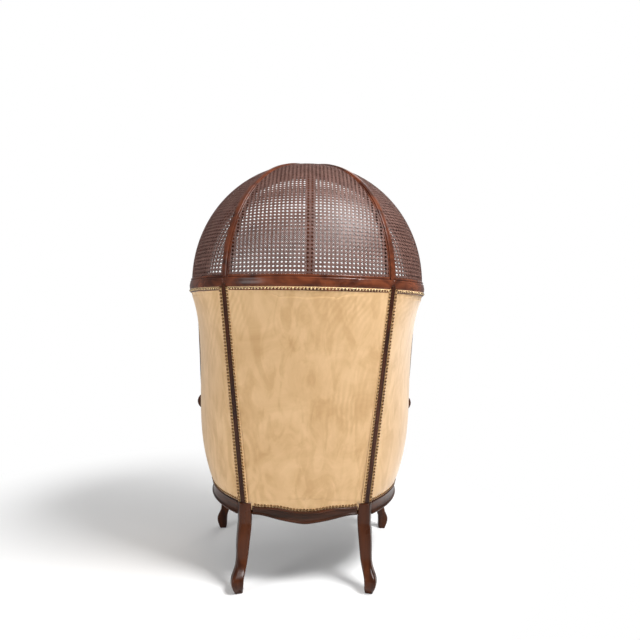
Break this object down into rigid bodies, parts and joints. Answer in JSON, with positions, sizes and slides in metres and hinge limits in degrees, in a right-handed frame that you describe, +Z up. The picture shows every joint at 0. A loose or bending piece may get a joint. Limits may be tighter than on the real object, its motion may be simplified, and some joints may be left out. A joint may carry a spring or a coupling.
{
  "type": "hall porter chair",
  "caption": "Upright tub armchair with upholstered walls and a loose seat cushion under a caned half-dome canopy, on cabriole legs.",
  "frame": {"origin": "centre of the bounding box, at the floor under the feet", "axes": "+X to the sitter's left, the sitter faces -Y, +Z up"},
  "size_m": [0.918, 0.7785, 1.534],
  "materials": {
    "suede": "brushed nap",
    "show_wood": "polished",
    "cane": "stained",
    "frame_wood": "bare",
    "deck_cloth": "woven",
    "webbing": "woven jute",
    "dust_cloth": "woven"
  },
  "bodies": {
    "root": {"arm_rail_left": "show_wood", "arm_rail_right": "show_wood", "arm_support_left": "show_wood", "arm_support_right": "show_wood", "back_rail": "show_wood", "cane_panel_back": "cane", "cane_panel_left": "cane", "cane_panel_right": "cane", "canopy_arch": "show_wood", "canopy_lath": "show_wood", "canopy_rail_back": "show_wood", "canopy_rail_left": "show_wood", "canopy_rail_right": "show_wood", "canopy_rib_left": "show_wood", "canopy_rib_right": "show_wood", "corner_blocks": "frame_wood", "crown_block": "show_wood", "dust_cover": "dust_cloth", "front_leg_left": "show_wood", "front_leg_right": "show_wood", "front_rail": "show_wood", "inner_back_pad": "suede", "inner_cane_back": "cane", "inner_cane_left": "cane", "inner_cane_right": "cane", "inner_side_pad_left": "suede", "inner_side_pad_right": "suede", "outer_back_panel": "suede", "outer_side_panel_left": "suede", "outer_side_panel_right": "suede", "rear_post_left": "show_wood", "rear_post_right": "show_wood", "seat_cleats": "frame_wood", "seat_deck": "deck_cloth", "seat_webbing": "webbing", "side_rail_left": "show_wood", "side_rail_right": "show_wood"},
    "cushion": {"seat_cushion": "suede"}
  },
  "joints": [
    {"name": "cushion_lift", "type": "slide", "parent": "root", "child": "cushion", "axis": [0, 0, 1], "range_m": [0, 0.28]}
  ]
}
